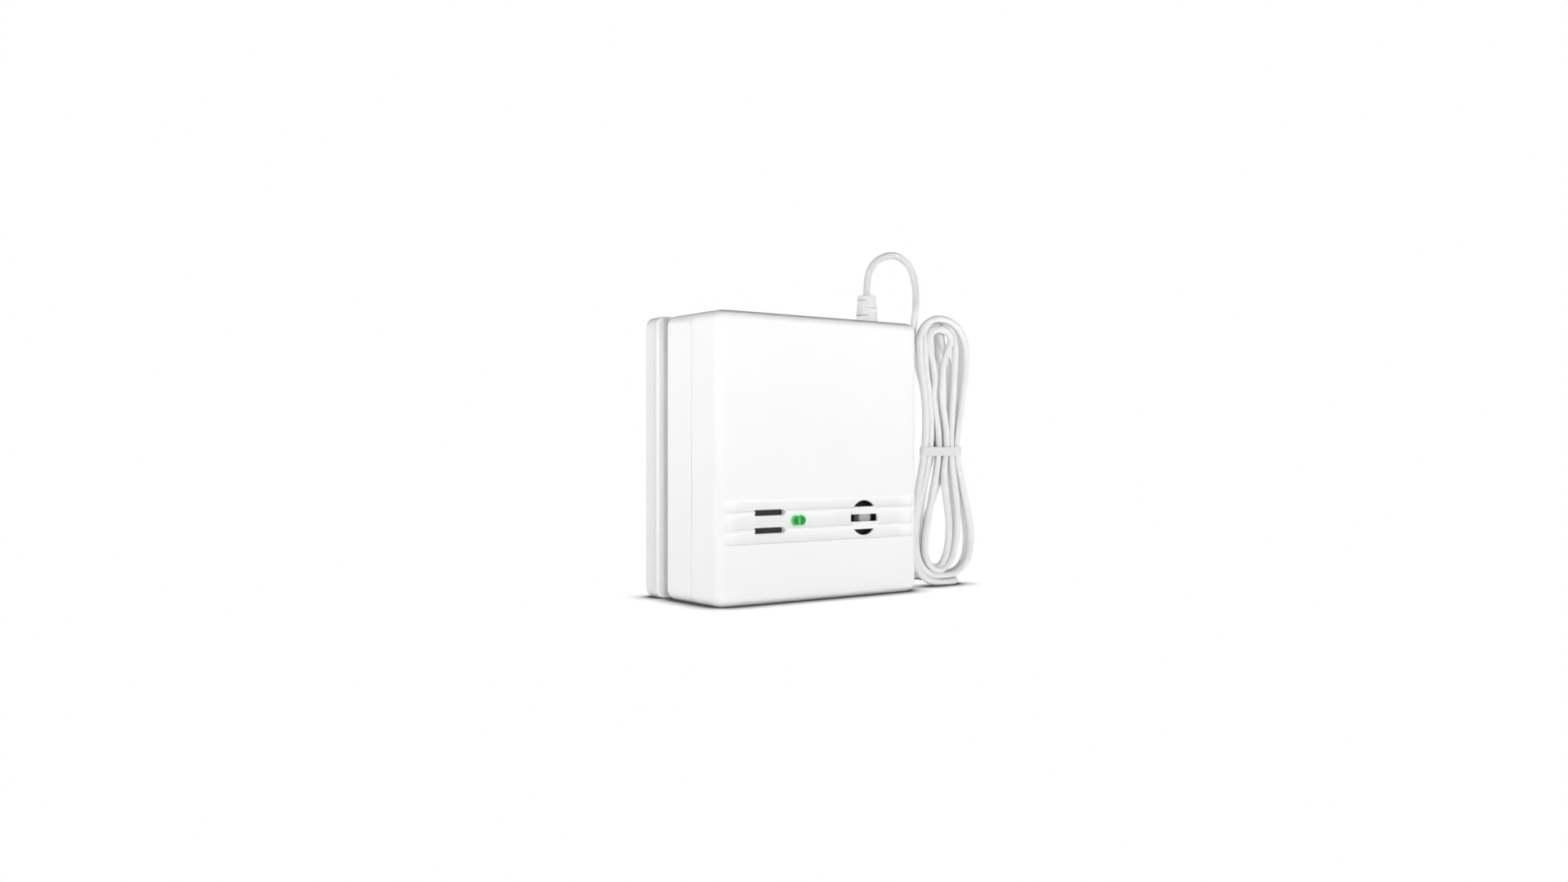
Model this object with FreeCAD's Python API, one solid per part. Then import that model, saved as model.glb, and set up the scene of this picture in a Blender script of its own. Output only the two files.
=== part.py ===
"""Wireless water leak sensor: a wall case with its bracket, and a corded water probe.

Millimetres. X runs to the right as seen from the front, Y runs from the front to the wall and Z runs up.
The origin is on the surface that the case stands on, under the middle of the case and bracket.
"""
import FreeCAD
import Part
import math
import os

V = FreeCAD.Vector

# Case: outer form
case_width = 72.0
case_height = 80.0
cover_depth = 13.3
housing_depth = 13.2
corner_radius = 3.0
front_edge_radius = 2.6
rear_edge_radius = 1.2
shoulder_width = 10.0
shoulder_drop = 0.5
wall = 2.0
seam_chamfer = 0.3
fit_gap = 0.1

# Rim joint between the cover and the housing
rebate_wall = 1.0
rebate_depth = 2.7
lip_height = 1.7
seal_height = 0.9

# Front face: band, slots, window and sound opening
row_z = 22.6
row_pitch = 4.9
band_height = 12.0
band_half = 33.7
rib_height = 0.9
groove_depth = 0.6
slot_x = -18.8
slot_length = 10.5
slot_height = 1.65
slot_end_radius = 0.7
window_x = -8.8
window_lobe_radius = 1.45
window_lobe_offset = 1.0
sound_x = 15.2
sound_radius = 5.05
bar_pitch = 4.3
bar_height = 2.15
bar_depth = 1.1
nose_depth = 1.3

# Vent filter behind the slots
filter_margin = 0.9
filter_thickness = 1.0

# Case screws, each set in from the nearest sides of the case
screw_inset_x = 6.2
screw_inset_z = 7.4
screw_inset_lead = 19.0
screw_radius = 1.25
screw_head_radius = 2.3
screw_head_height = 1.7
screw_bite = 8.0
screw_sink = 0.4
thread_fit = 0.02
drive_radius = 0.9
drive_depth = 0.9
boss_radius = 2.9
gusset_thickness = 1.2

# Circuit board and what fixes it
board_side_margin = 4.0
board_bottom_margin = 5.0
board_top_margin = 6.4
board_thickness = 1.6
board_inset = 1.8
board_corner_radius = 1.0
board_notch_width = 16.5
board_notch_height = 18.6
boss_clearance = 0.6
pillar_inset_x = 6.6
pillar_level = 41.0
pillar_top_x = -12.0
pillar_top_inset = 11.5
pillar_radius = 2.1
board_screw_radius = 0.9
board_screw_bite = 5.0
board_screw_head_radius = 1.8
board_screw_head_height = 1.2

# Status light
led_width = 3.4
led_height = 2.6
led_depth = 1.2
pipe_flange_margin = 0.5
pipe_flange_depth = 0.8
pipe_air = 0.3
pipe_dome = 0.35

# Sounder
sounder_radius = 6.0
sounder_wall = 0.8
sounder_floor = 2.2
diaphragm_radius = 3.2
diaphragm_stem_radius = 1.6
diaphragm_depth = 1.0

# Radio
radio_x = -19.0
radio_inset_z = 26.5
radio_width = 16.0
radio_height = 20.0
radio_thickness = 0.8
shield_width = 13.0
shield_height = 13.0
shield_depth = 2.2
shield_edge = 0.5
shield_lift = 1.5
antenna_radius = 0.4
antenna_reach = 3.2
antenna_length = 24.0
antenna_bend = 1.4

# Controller and reserve capacitor
chip_x = 2.0
chip_inset_z = 36.0
chip_size = 7.0
chip_depth = 1.2
chip_lift = 0.15
leg_count = 8
leg_width = 0.3
leg_reach = 1.0
capacitor_x = -2.5
capacitor_inset_z = 22.5
capacitor_radius = 3.15
capacitor_depth = 5.6
capacitor_base = 0.9
capacitor_groove = 0.3

# Terminal block for the lead
terminal_inset_x = 14.1
terminal_inset_z = 28.0
terminal_width = 8.4
terminal_height = 7.6
terminal_depth = 6.6
terminal_pitch = 3.6
terminal_entry_radius = 0.9
terminal_entry_depth = 3.0
terminal_screw_radius = 1.2
terminal_screw_depth = 2.4
terminal_screw_sink = 0.5
terminal_entry_offset = 3.6

# Lead, its strain relief and its clamp
lead_radius = 1.05
lead_fit = 0.03
relief_inset = 9.0
relief_base_radius = 3.5
relief_top_radius = 2.7
relief_height = 8.9
relief_neck_radius = 2.3
relief_flange_radius = 3.4
relief_flange_depth = 1.5
relief_notch_height = 1.3
relief_notch_core = 1.6
relief_notch_levels = (2.2, 4.5, 6.8)
relief_round = 0.4
clamp_inset = 4.8
clamp_height = 4.0
clamp_thickness = 2.4
clamp_half_width = 4.9
clamp_screw_offset = 3.1
clamp_screw_radius = 0.8
clamp_screw_head_radius = 1.5
clamp_screw_head_height = 1.0
clamp_screw_bite = 4.0
inner_lead_inset = 10.0
core_radius = 0.42
core_spread = 0.5
core_drop = 3.4
core_rise = 3.6
core_clearance = 1.2

# Battery bay
cell_radius = 5.25
cell_length = 43.7
cell_nub_radius = 1.9
cell_nub_height = 0.8
cell_edge = 0.5
cell_air = 0.3
cradle_wall = 1.0
cradle_floor = 1.0
cradle_bottom = 10.8
cradle_side_height = 8.0
cradle_end_room = 4.55
cradle_notch = 0.6
contact_thickness = 0.4
contact_half_width = 3.6
leaf_rise = 3.6
tab_width = 2.0

# Wall bracket
bracket_gap = 3.0
bracket_depth = 7.5
bracket_overhang = 0.9
bracket_rise = 0.2
bracket_wall = 2.0
bracket_corner_radius = 2.6
bracket_front_round = 0.6
bracket_rear_round = 1.5
bracket_line_offset = 1.4
bracket_line_width = 0.5
bracket_line_depth = 0.3
bracket_hole_x = 20.0
bracket_hole_z = 41.0
bracket_hole_radius = 2.2
bracket_sink_radius = 4.2
bracket_sink_depth = 2.0
bracket_boss_radius = 5.4
bracket_rib_x = 9.0
bracket_rib_z = (24.0, 58.0)
bracket_rib_thickness = 1.4
bracket_rib_setback = 1.5
pad_radius = 3.0
pad_places = ((-25.0, 66.0), (25.0, 66.0), (-25.0, 16.0), (25.0, 16.0))
hook_places = ((-18.0, 61.0), (18.0, 61.0), (0.0, 5.2))
hook_width = 6.0
hook_stem = 2.0
hook_lip = 1.8
hook_lip_depth = 1.6
hook_travel = 4.3

# Water probe
probe_length = 34.0
probe_width = 15.0
probe_height = 8.0
probe_base_height = 2.4
probe_end_x = 38.0
probe_clearance = 12.5
probe_corner_radius = 5.0
probe_round = 1.2
probe_seam = 0.2
contact_radius = 2.0
contact_spacing = 20.0
contact_stand = 0.5
contact_sunk = 1.6
grommet_radius = 1.9
grommet_tip_radius = 1.4
grommet_length = 6.0
grommet_sunk = 1.5

# Hank of the lead, standing beside the case: x measured from the case's side, z from the floor
hank_depth = 4.4
hank_setback = 5.8
hank_rise = 4.0
hank_tie_z = 41.7
hank_waist = (11.2, 22.9)
hank_right_side = ((27.6, 3.5), (29.3, 12.5), (27.3, 24.5), (23.9, 35.0), (23.2, 48.0), (25.8, 59.0), (27.5, 69.5))
hank_crown = ((25.8, 6.6), (21.0, 0.6), (15.4, 0.5), (11.0, 5.0))
hank_left_side = ((6.9, 14.6), (8.7, 22.0), (10.9, 30.0))
hank_foot_side = ((9.9, 33.5), (6.8, 22.0), (5.4, 11.0), (6.8, 3.0))
hank_floor = (10.0, 26.6)
ledge_width = 2.5
ledge_drop = 8.0
tie_height = 2.8
tie_thickness = 0.6
tie_round = 1.2

# Places worked out from the sizes above
front_y = -(cover_depth + housing_depth + bracket_gap + bracket_depth) / 2
parting_y = front_y + cover_depth
housing_back_y = parting_y + housing_depth
bracket_front_y = housing_back_y + bracket_gap
bracket_back_y = bracket_front_y + bracket_depth
cover_inner_y = front_y + wall
housing_inner_y = housing_back_y - wall
board_back_y = parting_y - board_inset
board_front_y = board_back_y - board_thickness
half_width = case_width / 2
shoulder_radius = (shoulder_width ** 2 + shoulder_drop ** 2) / (2 * shoulder_drop)
screw_places = (
    (-half_width + screw_inset_x, screw_inset_z),
    (half_width - screw_inset_x, screw_inset_z),
    (-half_width + screw_inset_x, case_height - screw_inset_z),
    (half_width - screw_inset_lead, case_height - screw_inset_z),
)
pillar_places = (
    (-half_width + pillar_inset_x, pillar_level),
    (half_width - pillar_inset_x, pillar_level),
    (pillar_top_x, case_height - pillar_top_inset),
)
relief_x = half_width - relief_inset
relief_top_z = case_height + relief_height
clamp_top = case_height - clamp_inset
inner_lead_end = case_height - inner_lead_inset
terminal_x = half_width - terminal_inset_x
terminal_z = case_height - terminal_inset_z
radio_z = case_height - radio_inset_z
chip_z = case_height - chip_inset_z
capacitor_z = case_height - capacitor_inset_z
board_notch_z = case_height - board_notch_height
cradle_half_length = cell_length / 2 + cell_nub_height + cradle_end_room
cell_y = housing_inner_y - cradle_floor - cell_radius - fit_gap
cell_pitch = 2 * cell_radius + cradle_wall + 2 * cell_air
cell_levels = tuple(cradle_bottom + cradle_wall + cell_air + cell_radius + cell_pitch * i for i in (0, 1))
cradle_top = cell_levels[1] + cell_radius + cell_air + cradle_wall
hank_y = parting_y - hank_setback
hank_back_y = hank_y + hank_depth / 2
hank_front_y = hank_y - hank_depth / 2
hank_top = case_height + hank_rise
ledge_x = half_width + hank_left_side[0][0] + ledge_width / 2
ledge_top = hank_top - ledge_drop
probe_y = bracket_back_y + probe_clearance
probe_level = contact_stand + probe_base_height
grommet_z = probe_level + grommet_radius / 4
grommet_end = probe_end_x + grommet_length

# Free lead: steps from the strain relief over to the hank, then from the hank to the probe
arch_steps = (
    (0.0, 0.0, 5.4),
    (2.6, 0.0, 10.4),
    (8.0, 0.0, 13.1),
    (13.2, 0.0, 13.2),
    (17.4, -0.6, 10.2),
    (18.9, -2.1, 5.0),
    (17.3, -3.7, -3.0),
    (16.1, -4.7, -8.1),
)
tail_steps = (
    (0.0, 7.3, 0.0),
    (-1.6, 17.3, 0.0),
    (-2.4, 27.3, 0.0),
    (-6.4, 36.0, 0.0),
)
tail_offset = 25.2
tail_reach = 5.8
arch_start = (relief_x, parting_y, relief_top_z)
arch_end = (relief_x + arch_steps[-1][0], parting_y + arch_steps[-1][1], ledge_top)
tail_start = (half_width + tail_offset, hank_back_y, lead_radius)
tail_end = (grommet_end, probe_y, grommet_z)
tail_lift = (grommet_end + tail_reach, probe_y, grommet_z)


def route_of(start, steps, ends):
    """Corner points of a lead: its start, the steps from it and its last points."""
    middle = [tuple(a + b for a, b in zip(start, step)) for step in steps]
    return [start] + middle + list(ends)


arch_route = route_of(arch_start, arch_steps, [arch_end])
tail_route = route_of(tail_start, tail_steps, [tail_lift, tail_end])


def slab(x0, x1, y0, y1, z0, z1):
    """Rectangular block between two corners."""
    return Part.makeBox(x1 - x0, y1 - y0, z1 - z0, V(x0, y0, z0))


def rod(x, z, radius, y0, y1):
    """Round bar that runs from front to back."""
    return Part.makeCylinder(radius, y1 - y0, V(x, y0, z), V(0, 1, 0))


def post(x, y, radius, z0, z1):
    """Round bar that stands upright."""
    return Part.makeCylinder(radius, z1 - z0, V(x, y, z0))


def bolt(x, z, radius, head_radius, head_height, y_head, y_tip):
    """Screw with a cross drive, its head towards y_head and its tip at y_tip."""
    toward = 1 if y_tip > y_head else -1
    seat = y_head + toward * head_height
    head = rod(x, z, head_radius, min(y_head, seat), max(y_head, seat))
    shank = rod(x, z, radius, min(seat, y_tip), max(seat, y_tip))
    screw = head.fuse(shank)
    floor = y_head + toward * min(drive_depth, head_height / 2)
    low, high = min(y_head, floor), max(y_head, floor)
    reach = head_radius * drive_radius / 1.5
    blade = reach / 4
    screw = screw.cut(slab(x - reach, x + reach, low, high, z - blade, z + blade))
    return screw.cut(slab(x - blade, x + blade, low, high, z - reach, z + reach))


def rounded_outline(half, z0, z1, radius, y, middle=0.0):
    """Closed outline of an upright rectangle with rounded corners, at depth y."""
    bulge = radius * (1 - math.sqrt(0.5))
    left, right = middle - half, middle + half
    corners = (
        (V(right - radius, y, z0), V(right - bulge, y, z0 + bulge), V(right, y, z0 + radius)),
        (V(right, y, z1 - radius), V(right - bulge, y, z1 - bulge), V(right - radius, y, z1)),
        (V(left + radius, y, z1), V(left + bulge, y, z1 - bulge), V(left, y, z1 - radius)),
        (V(left, y, z0 + radius), V(left + bulge, y, z0 + bulge), V(left + radius, y, z0)),
    )
    edges = []
    for index, corner in enumerate(corners):
        edges.append(Part.Arc(*corner).toShape())
        edges.append(Part.makeLine(corner[2], corners[(index + 1) % 4][0]))
    return Part.Wire(edges)


def rounded_block(half, z0, z1, radius, y0, y1, middle=0.0):
    """Upright rectangle with rounded corners, drawn out from y0 to y1."""
    return Part.Face(rounded_outline(half, z0, z1, radius, y0, middle)).extrude(V(0, y1 - y0, 0))


def case_block(inset, y0, y1):
    """The case's section, drawn in all round by inset."""
    return rounded_block(half_width - inset, inset, case_height - inset, corner_radius - inset, y0, y1)


def front_form(inset):
    """Solid form of the cover, drawn in by inset, with its bent shoulders and round front edge."""
    face_y = front_y + inset
    flat = half_width - shoulder_width
    bend = shoulder_radius - inset

    def setback(run):
        return bend - math.sqrt(bend ** 2 - run ** 2)

    run = half_width - flat + wall
    edge_y = face_y + setback(run)
    middle_y = face_y + setback(run / 2)
    far = flat + run
    plan = Part.Wire([
        Part.makeLine(V(-far, parting_y, 0), V(-far, edge_y, 0)),
        Part.Arc(V(-far, edge_y, 0), V(-flat - run / 2, middle_y, 0), V(-flat, face_y, 0)).toShape(),
        Part.makeLine(V(-flat, face_y, 0), V(flat, face_y, 0)),
        Part.Arc(V(flat, face_y, 0), V(flat + run / 2, middle_y, 0), V(far, edge_y, 0)).toShape(),
        Part.makeLine(V(far, edge_y, 0), V(far, parting_y, 0)),
        Part.makeLine(V(far, parting_y, 0), V(-far, parting_y, 0)),
    ])
    bent = Part.Face(plan).extrude(V(0, 0, case_height))
    form = case_block(inset, front_y - wall, parting_y).common(bent)
    rim = []
    for edge in form.Edges:
        box = edge.BoundBox
        on_front = box.YMax < edge_y + seam_chamfer
        bend_line = box.XLength < 1e-6 and abs(abs(box.XMin) - flat) < 1e-3
        if on_front and not bend_line:
            rim.append(edge)
    return form.makeFillet(max(front_edge_radius - inset, fit_gap), rim)


def rear_form():
    """Solid form of the rear housing with its round rear edge."""
    block = case_block(0, parting_y, housing_back_y)
    rim = [edge for edge in block.Edges if edge.BoundBox.YMin > housing_back_y - 1e-3]
    return block.makeFillet(rear_edge_radius, rim)


def seam_relief():
    """Shallow groove round the outside of the case where the two shells meet."""
    ring = case_block(-wall, parting_y - seam_chamfer, parting_y + seam_chamfer)
    return ring.cut(case_block(seam_chamfer, parting_y - wall, parting_y + wall))


def slot_tool(offset):
    """Cutter for one vent slot, above or below the middle of the row."""
    level = row_z + offset
    return rounded_block(slot_length / 2, level - slot_height / 2, level + slot_height / 2, slot_end_radius,
                         front_y - wall, cover_inner_y + wall, slot_x)


def window_form(radius, y0, y1):
    """Two overlapping round lobes side by side."""
    left = rod(window_x - window_lobe_offset, row_z, radius, y0, y1)
    right = rod(window_x + window_lobe_offset, row_z, radius, y0, y1)
    return left.fuse(right).removeSplitter()


def relief_clearance():
    """Room for the strain relief's neck and inner flange at the top of the case."""
    neck = post(relief_x, parting_y, relief_neck_radius + fit_gap, case_height - 2 * wall, case_height + wall)
    flange_low = case_height - wall - relief_flange_depth - fit_gap
    flange = post(relief_x, parting_y, relief_flange_radius + fit_gap, flange_low, case_height - wall)
    return neck.fuse(flange)


def front_cover():
    """Moulded front shell with the band, ribs, slots, window and barred sound opening."""
    form = front_form(0)
    cover = form.cut(front_form(wall))
    cover = cover.cut(case_block(rebate_wall, parting_y - rebate_depth, parting_y))

    groove = (band_height - row_pitch - rib_height) / 2
    levels = (
        (row_z - band_height / 2, row_z - band_height / 2 + groove),
        (row_z - (row_pitch - rib_height) / 2, row_z + (row_pitch - rib_height) / 2),
        (row_z + band_height / 2 - groove, row_z + band_height / 2),
    )
    skin = front_form(groove_depth)
    for low, high in levels:
        strip = slab(-band_half, band_half, front_y - wall, parting_y - rebate_depth, low, high)
        cover = cover.cut(strip.cut(skin))

    for x, z in screw_places:
        boss = rod(x, z, boss_radius, cover_inner_y - fit_gap, parting_y)
        outward = math.copysign(half_width - rebate_wall - fit_gap - abs(x), x)
        side = slab(min(x, x + outward), max(x, x + outward), cover_inner_y - fit_gap, parting_y - rebate_depth,
                    z - gusset_thickness / 2, z + gusset_thickness / 2)
        if abs(outward) > 2 * boss_radius:
            side = slab(x - gusset_thickness / 2, x + gusset_thickness / 2, cover_inner_y - fit_gap,
                        parting_y - rebate_depth, z, case_height - rebate_wall - fit_gap)
        cover = cover.fuse(boss.fuse(side))
        cover = cover.cut(rod(x, z, screw_radius + thread_fit, parting_y - screw_bite - 1, parting_y))

    for offset in (-row_pitch / 2, row_pitch / 2):
        cover = cover.cut(slot_tool(offset))
    cover = cover.cut(window_form(window_lobe_radius + fit_gap / 2, front_y - wall, cover_inner_y + wall))

    cover = cover.cut(rod(sound_x, row_z, sounder_radius + fit_gap, front_y + nose_depth, cover_inner_y + wall))
    cover = cover.cut(rod(sound_x, row_z, sound_radius, front_y - wall, cover_inner_y))
    for offset in (-bar_pitch / 2, bar_pitch / 2):
        level = row_z + offset
        bar = slab(sound_x - sounder_radius, sound_x + sounder_radius, front_y, front_y + bar_depth,
                   level - bar_height / 2, level + bar_height / 2)
        seat = rod(sound_x, row_z, sound_radius + fit_gap, front_y, front_y + bar_depth)
        cover = cover.fuse(bar.common(seat))

    cover = cover.cut(relief_clearance())
    cover = cover.cut(seam_relief())
    return cover.removeSplitter()


def rear_housing():
    """Moulded rear shell with its lip, screw bosses, board pillars, lead saddle and hook slots."""
    housing = rear_form()
    housing = housing.cut(case_block(wall, parting_y, housing_inner_y))
    housing = housing.cut(seam_relief())
    lip = case_block(rebate_wall + fit_gap, parting_y - lip_height, parting_y + wall)
    lip = lip.cut(case_block(wall, parting_y - wall, parting_y + 2 * wall))
    housing = housing.fuse(lip)

    for x, z in screw_places:
        housing = housing.fuse(rod(x, z, boss_radius, parting_y, housing_inner_y))
    for x, z in pillar_places:
        housing = housing.fuse(rod(x, z, pillar_radius, board_back_y, housing_inner_y))
    saddle_right = min(relief_x + clamp_half_width, half_width - wall / 2)
    saddle = slab(relief_x - clamp_half_width, saddle_right, parting_y, housing_inner_y,
                  clamp_top - clamp_height, clamp_top)
    housing = housing.fuse(saddle)

    head_seat = housing_back_y - screw_sink - screw_head_height
    for x, z in screw_places:
        housing = housing.cut(rod(x, z, screw_radius + fit_gap, parting_y - 1, housing_back_y))
        housing = housing.cut(rod(x, z, screw_head_radius + fit_gap, head_seat, housing_back_y + 1))
    for x, z in pillar_places:
        housing = housing.cut(rod(x, z, board_screw_radius + thread_fit, board_back_y - 1,
                                  board_back_y + board_screw_bite + 1))
    for side in (-1, 1):
        housing = housing.cut(rod(relief_x + side * clamp_screw_offset, clamp_top - clamp_height / 2,
                                  clamp_screw_radius + thread_fit, parting_y - 1,
                                  parting_y + clamp_screw_bite + 1))
    housing = housing.cut(post(relief_x, parting_y, lead_radius + lead_fit, inner_lead_end, case_height))
    housing = housing.cut(relief_clearance())
    for x, z in hook_places:
        housing = housing.cut(slab(x - hook_width / 2 - 3 * fit_gap, x + hook_width / 2 + 3 * fit_gap,
                                   housing_inner_y - 1, housing_back_y + 1, z - hook_travel, z + fit_gap))
    return housing.removeSplitter()


def rim_seal():
    """Rubber seal in the cover's rebate, pressed by the housing's lip."""
    y1 = parting_y - lip_height - fit_gap / 2
    y0 = y1 - seal_height
    ring = case_block(rebate_wall + fit_gap, y0, y1).cut(case_block(wall, y0 - 1, y1 + 1))
    return ring.cut(relief_clearance())


def case_screws():
    """Four screws that go in from the back."""
    tip = parting_y - screw_bite
    return Part.makeCompound([
        bolt(x, z, screw_radius, screw_head_radius, screw_head_height, housing_back_y - screw_sink, tip)
        for x, z in screw_places
    ])


def vent_filter():
    """Dark foam pad glued behind the two slots."""
    half_height = row_pitch / 2 + slot_height / 2 + filter_margin
    return rounded_block(slot_length / 2 + filter_margin, row_z - half_height, row_z + half_height,
                         slot_end_radius, cover_inner_y, cover_inner_y + filter_thickness, slot_x)


def circuit_board():
    """Main board, notched round the bosses and the lead."""
    board_top = case_height - board_top_margin
    board = rounded_block(half_width - board_side_margin, board_bottom_margin, board_top,
                          board_corner_radius, board_front_y, board_back_y)
    for x, z in screw_places:
        board = board.cut(rod(x, z, boss_radius + boss_clearance, board_front_y - 1, board_back_y + 1))
    board = board.cut(slab(half_width - board_notch_width, half_width, board_front_y - 1,
                           board_back_y + 1, board_notch_z, case_height))
    for x, z in pillar_places:
        board = board.cut(rod(x, z, board_screw_radius + fit_gap, board_front_y - 1, board_back_y + 1))
    solids = sorted(board.Solids, key=lambda solid: solid.Volume)
    return solids[-1]


def board_screws():
    """Screws that hold the board on its pillars."""
    return Part.makeCompound([
        bolt(x, z, board_screw_radius, board_screw_head_radius, board_screw_head_height,
             board_front_y - board_screw_head_height, board_back_y + board_screw_bite)
        for x, z in pillar_places
    ])


def light_pipe():
    """Clear green window with a flange behind the cover's wall."""
    front = window_form(window_lobe_radius, front_y + fit_gap, board_front_y - led_depth - pipe_air)
    rim = [edge for edge in front.Edges if edge.BoundBox.YMax < front_y + 2 * fit_gap]
    front = front.makeFillet(pipe_dome, rim)
    flange = window_form(window_lobe_radius + pipe_flange_margin, cover_inner_y,
                         cover_inner_y + pipe_flange_depth)
    return front.fuse(flange).removeSplitter()


def status_led():
    """Surface mounted light under the window."""
    base = slab(window_x - led_width / 2, window_x + led_width / 2, board_front_y - led_depth / 2,
                board_front_y, row_z - led_height / 2, row_z + led_height / 2)
    lens = rod(window_x, row_z, led_height / 2 - fit_gap, board_front_y - led_depth, board_front_y - led_depth / 2)
    return base.fuse(lens)


def sounder_case():
    """Round black cup that stands on the board and reaches the grille."""
    front = front_y + nose_depth
    cup = rod(sound_x, row_z, sounder_radius, front, board_front_y)
    cup = cup.cut(rod(sound_x, row_z, sounder_radius - sounder_wall, front - 1, front + sounder_floor))
    return cup.cut(rod(sound_x, row_z, diaphragm_stem_radius, front, front + 2 * sounder_floor))


def sounder_diaphragm():
    """Pale disc on a short stem in the middle of the cup."""
    front = front_y + nose_depth
    disc = rod(sound_x, row_z, diaphragm_radius, front, front + diaphragm_depth)
    rim = [edge for edge in disc.Edges if edge.BoundBox.YMax < front + 1e-3]
    disc = disc.makeFillet(fit_gap * 3, rim)
    stem = rod(sound_x, row_z, diaphragm_stem_radius, front + diaphragm_depth / 2, front + 2 * sounder_floor)
    return disc.fuse(stem)


def radio_board():
    """Small radio module board soldered on the main board."""
    return slab(radio_x - radio_width / 2, radio_x + radio_width / 2, board_front_y - radio_thickness,
                board_front_y, radio_z - radio_height / 2, radio_z + radio_height / 2)


def radio_shield():
    """Pressed metal can over the radio circuit."""
    back = board_front_y - radio_thickness
    level = radio_z - shield_lift
    can = slab(radio_x - shield_width / 2, radio_x + shield_width / 2, back - shield_depth, back,
               level - shield_height / 2, level + shield_height / 2)
    rim = [edge for edge in can.Edges if edge.BoundBox.YMin < back - 1e-3]
    return can.makeFillet(shield_edge, rim)


def tube_along(points, radius):
    """Round tube of straight runs joined by tangent arcs, with its length and its bend radii."""
    route = [V(*point) for point in points]
    edges = []
    bends = []
    start = route[0]
    for before, corner, after in zip(route, route[1:], route[2:]):
        inward = (before - corner).normalize()
        outward = (after - corner).normalize()
        turn = math.pi - inward.getAngle(outward)
        shorter = min((before - corner).Length, (after - corner).Length)
        trim = 0.45 * shorter
        bend = trim / math.tan(turn / 2)
        middle = (inward + outward).normalize()
        centre = corner + middle * (bend / math.cos(turn / 2))
        first = corner + inward * trim
        last = corner + outward * trim
        edges.append(Part.makeLine(start, first))
        edges.append(Part.Arc(first, centre - middle * bend, last).toShape())
        bends.append(bend)
        start = last
    edges.append(Part.makeLine(start, route[-1]))
    path = Part.Wire(edges)
    ring = Part.Wire(Part.makeCircle(radius, route[0], (route[1] - route[0]).normalize()))
    tube = path.makePipeShell([ring], True, False)
    return tube, path.Length, bends


def antenna():
    """Wire that stands off the main board and runs across it above the radio."""
    foot_x = radio_x - radio_width / 2 + antenna_bend
    level = radio_z + radio_height / 2 + 2 * antenna_bend
    reach = board_front_y - antenna_reach
    route = (
        (foot_x, board_front_y, level),
        (foot_x, reach, level),
        (foot_x + antenna_length, reach, level),
    )
    wire = Part.Wire([
        Part.makeLine(V(*route[0]), V(foot_x, reach + antenna_bend, level)),
        Part.Arc(V(foot_x, reach + antenna_bend, level),
                 V(foot_x + antenna_bend * (1 - math.sqrt(0.5)), reach + antenna_bend * (1 - math.sqrt(0.5)), level),
                 V(foot_x + antenna_bend, reach, level)).toShape(),
        Part.makeLine(V(foot_x + antenna_bend, reach, level), V(*route[2])),
    ])
    ring = Part.Wire(Part.makeCircle(antenna_radius, V(*route[0]), V(0, 1, 0)))
    return wire.makePipeShell([ring], True, False)


def controller_chip():
    """Square chip with legs on its four sides."""
    half = chip_size / 2
    body = slab(chip_x - half, chip_x + half, board_front_y - chip_lift - chip_depth, board_front_y - chip_lift,
                chip_z - half, chip_z + half)
    dimple = rod(chip_x - half + 1, chip_z + half - 1, leg_width, board_front_y - chip_lift - chip_depth - 1,
                 board_front_y - chip_lift - chip_depth + chip_lift)
    body = body.cut(dimple)
    pitch = chip_size / (leg_count + 1)
    for index in range(leg_count):
        offset = -half + pitch * (index + 1)
        across = slab(chip_x - half - leg_reach, chip_x + half + leg_reach, board_front_y - 2 * chip_lift,
                      board_front_y, chip_z + offset - leg_width / 2, chip_z + offset + leg_width / 2)
        upright = slab(chip_x + offset - leg_width / 2, chip_x + offset + leg_width / 2,
                       board_front_y - 2 * chip_lift, board_front_y,
                       chip_z - half - leg_reach, chip_z + half + leg_reach)
        body = body.fuse(across.fuse(upright))
    return body


def reserve_capacitor():
    """Can capacitor on its square base, with a rolled groove."""
    top = board_front_y - capacitor_depth
    base = slab(capacitor_x - capacitor_radius, capacitor_x + capacitor_radius, board_front_y - capacitor_base,
                board_front_y, capacitor_z - capacitor_radius, capacitor_z + capacitor_radius)
    can = rod(capacitor_x, capacitor_z, capacitor_radius - fit_gap, top, board_front_y - capacitor_base)
    rim = [edge for edge in can.Edges if edge.BoundBox.YMax < top + 1e-3]
    can = can.makeFillet(capacitor_groove, rim)
    groove_y = board_front_y - capacitor_base - 2 * capacitor_groove
    ring = Part.makeTorus(capacitor_radius - fit_gap, capacitor_groove, V(capacitor_x, groove_y, capacitor_z),
                          V(0, 1, 0))
    return base.fuse(can.cut(ring))


def terminal_sides():
    """The two poles' x places."""
    return (terminal_x - terminal_pitch / 2, terminal_x + terminal_pitch / 2)


def terminal_block():
    """Two pole screw terminal, wires in from the top and screws at the front."""
    top = terminal_z + terminal_height / 2
    face = board_front_y - terminal_depth
    block = slab(terminal_x - terminal_width / 2, terminal_x + terminal_width / 2, face, board_front_y,
                 terminal_z - terminal_height / 2, top)
    step = slab(terminal_x - terminal_width, terminal_x + terminal_width, face - 1,
                board_front_y - terminal_entry_offset - terminal_entry_radius * 1.6, top - 1.6, top + 1)
    block = block.cut(step)
    for x in terminal_sides():
        entry_y = board_front_y - terminal_entry_offset
        block = block.cut(post(x, entry_y, terminal_entry_radius, top - terminal_entry_depth, top + 1))
        block = block.cut(rod(x, terminal_z - terminal_screw_sink, terminal_screw_radius + lead_fit, face - 1,
                              face + terminal_screw_sink + terminal_screw_depth))
    return block


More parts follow.
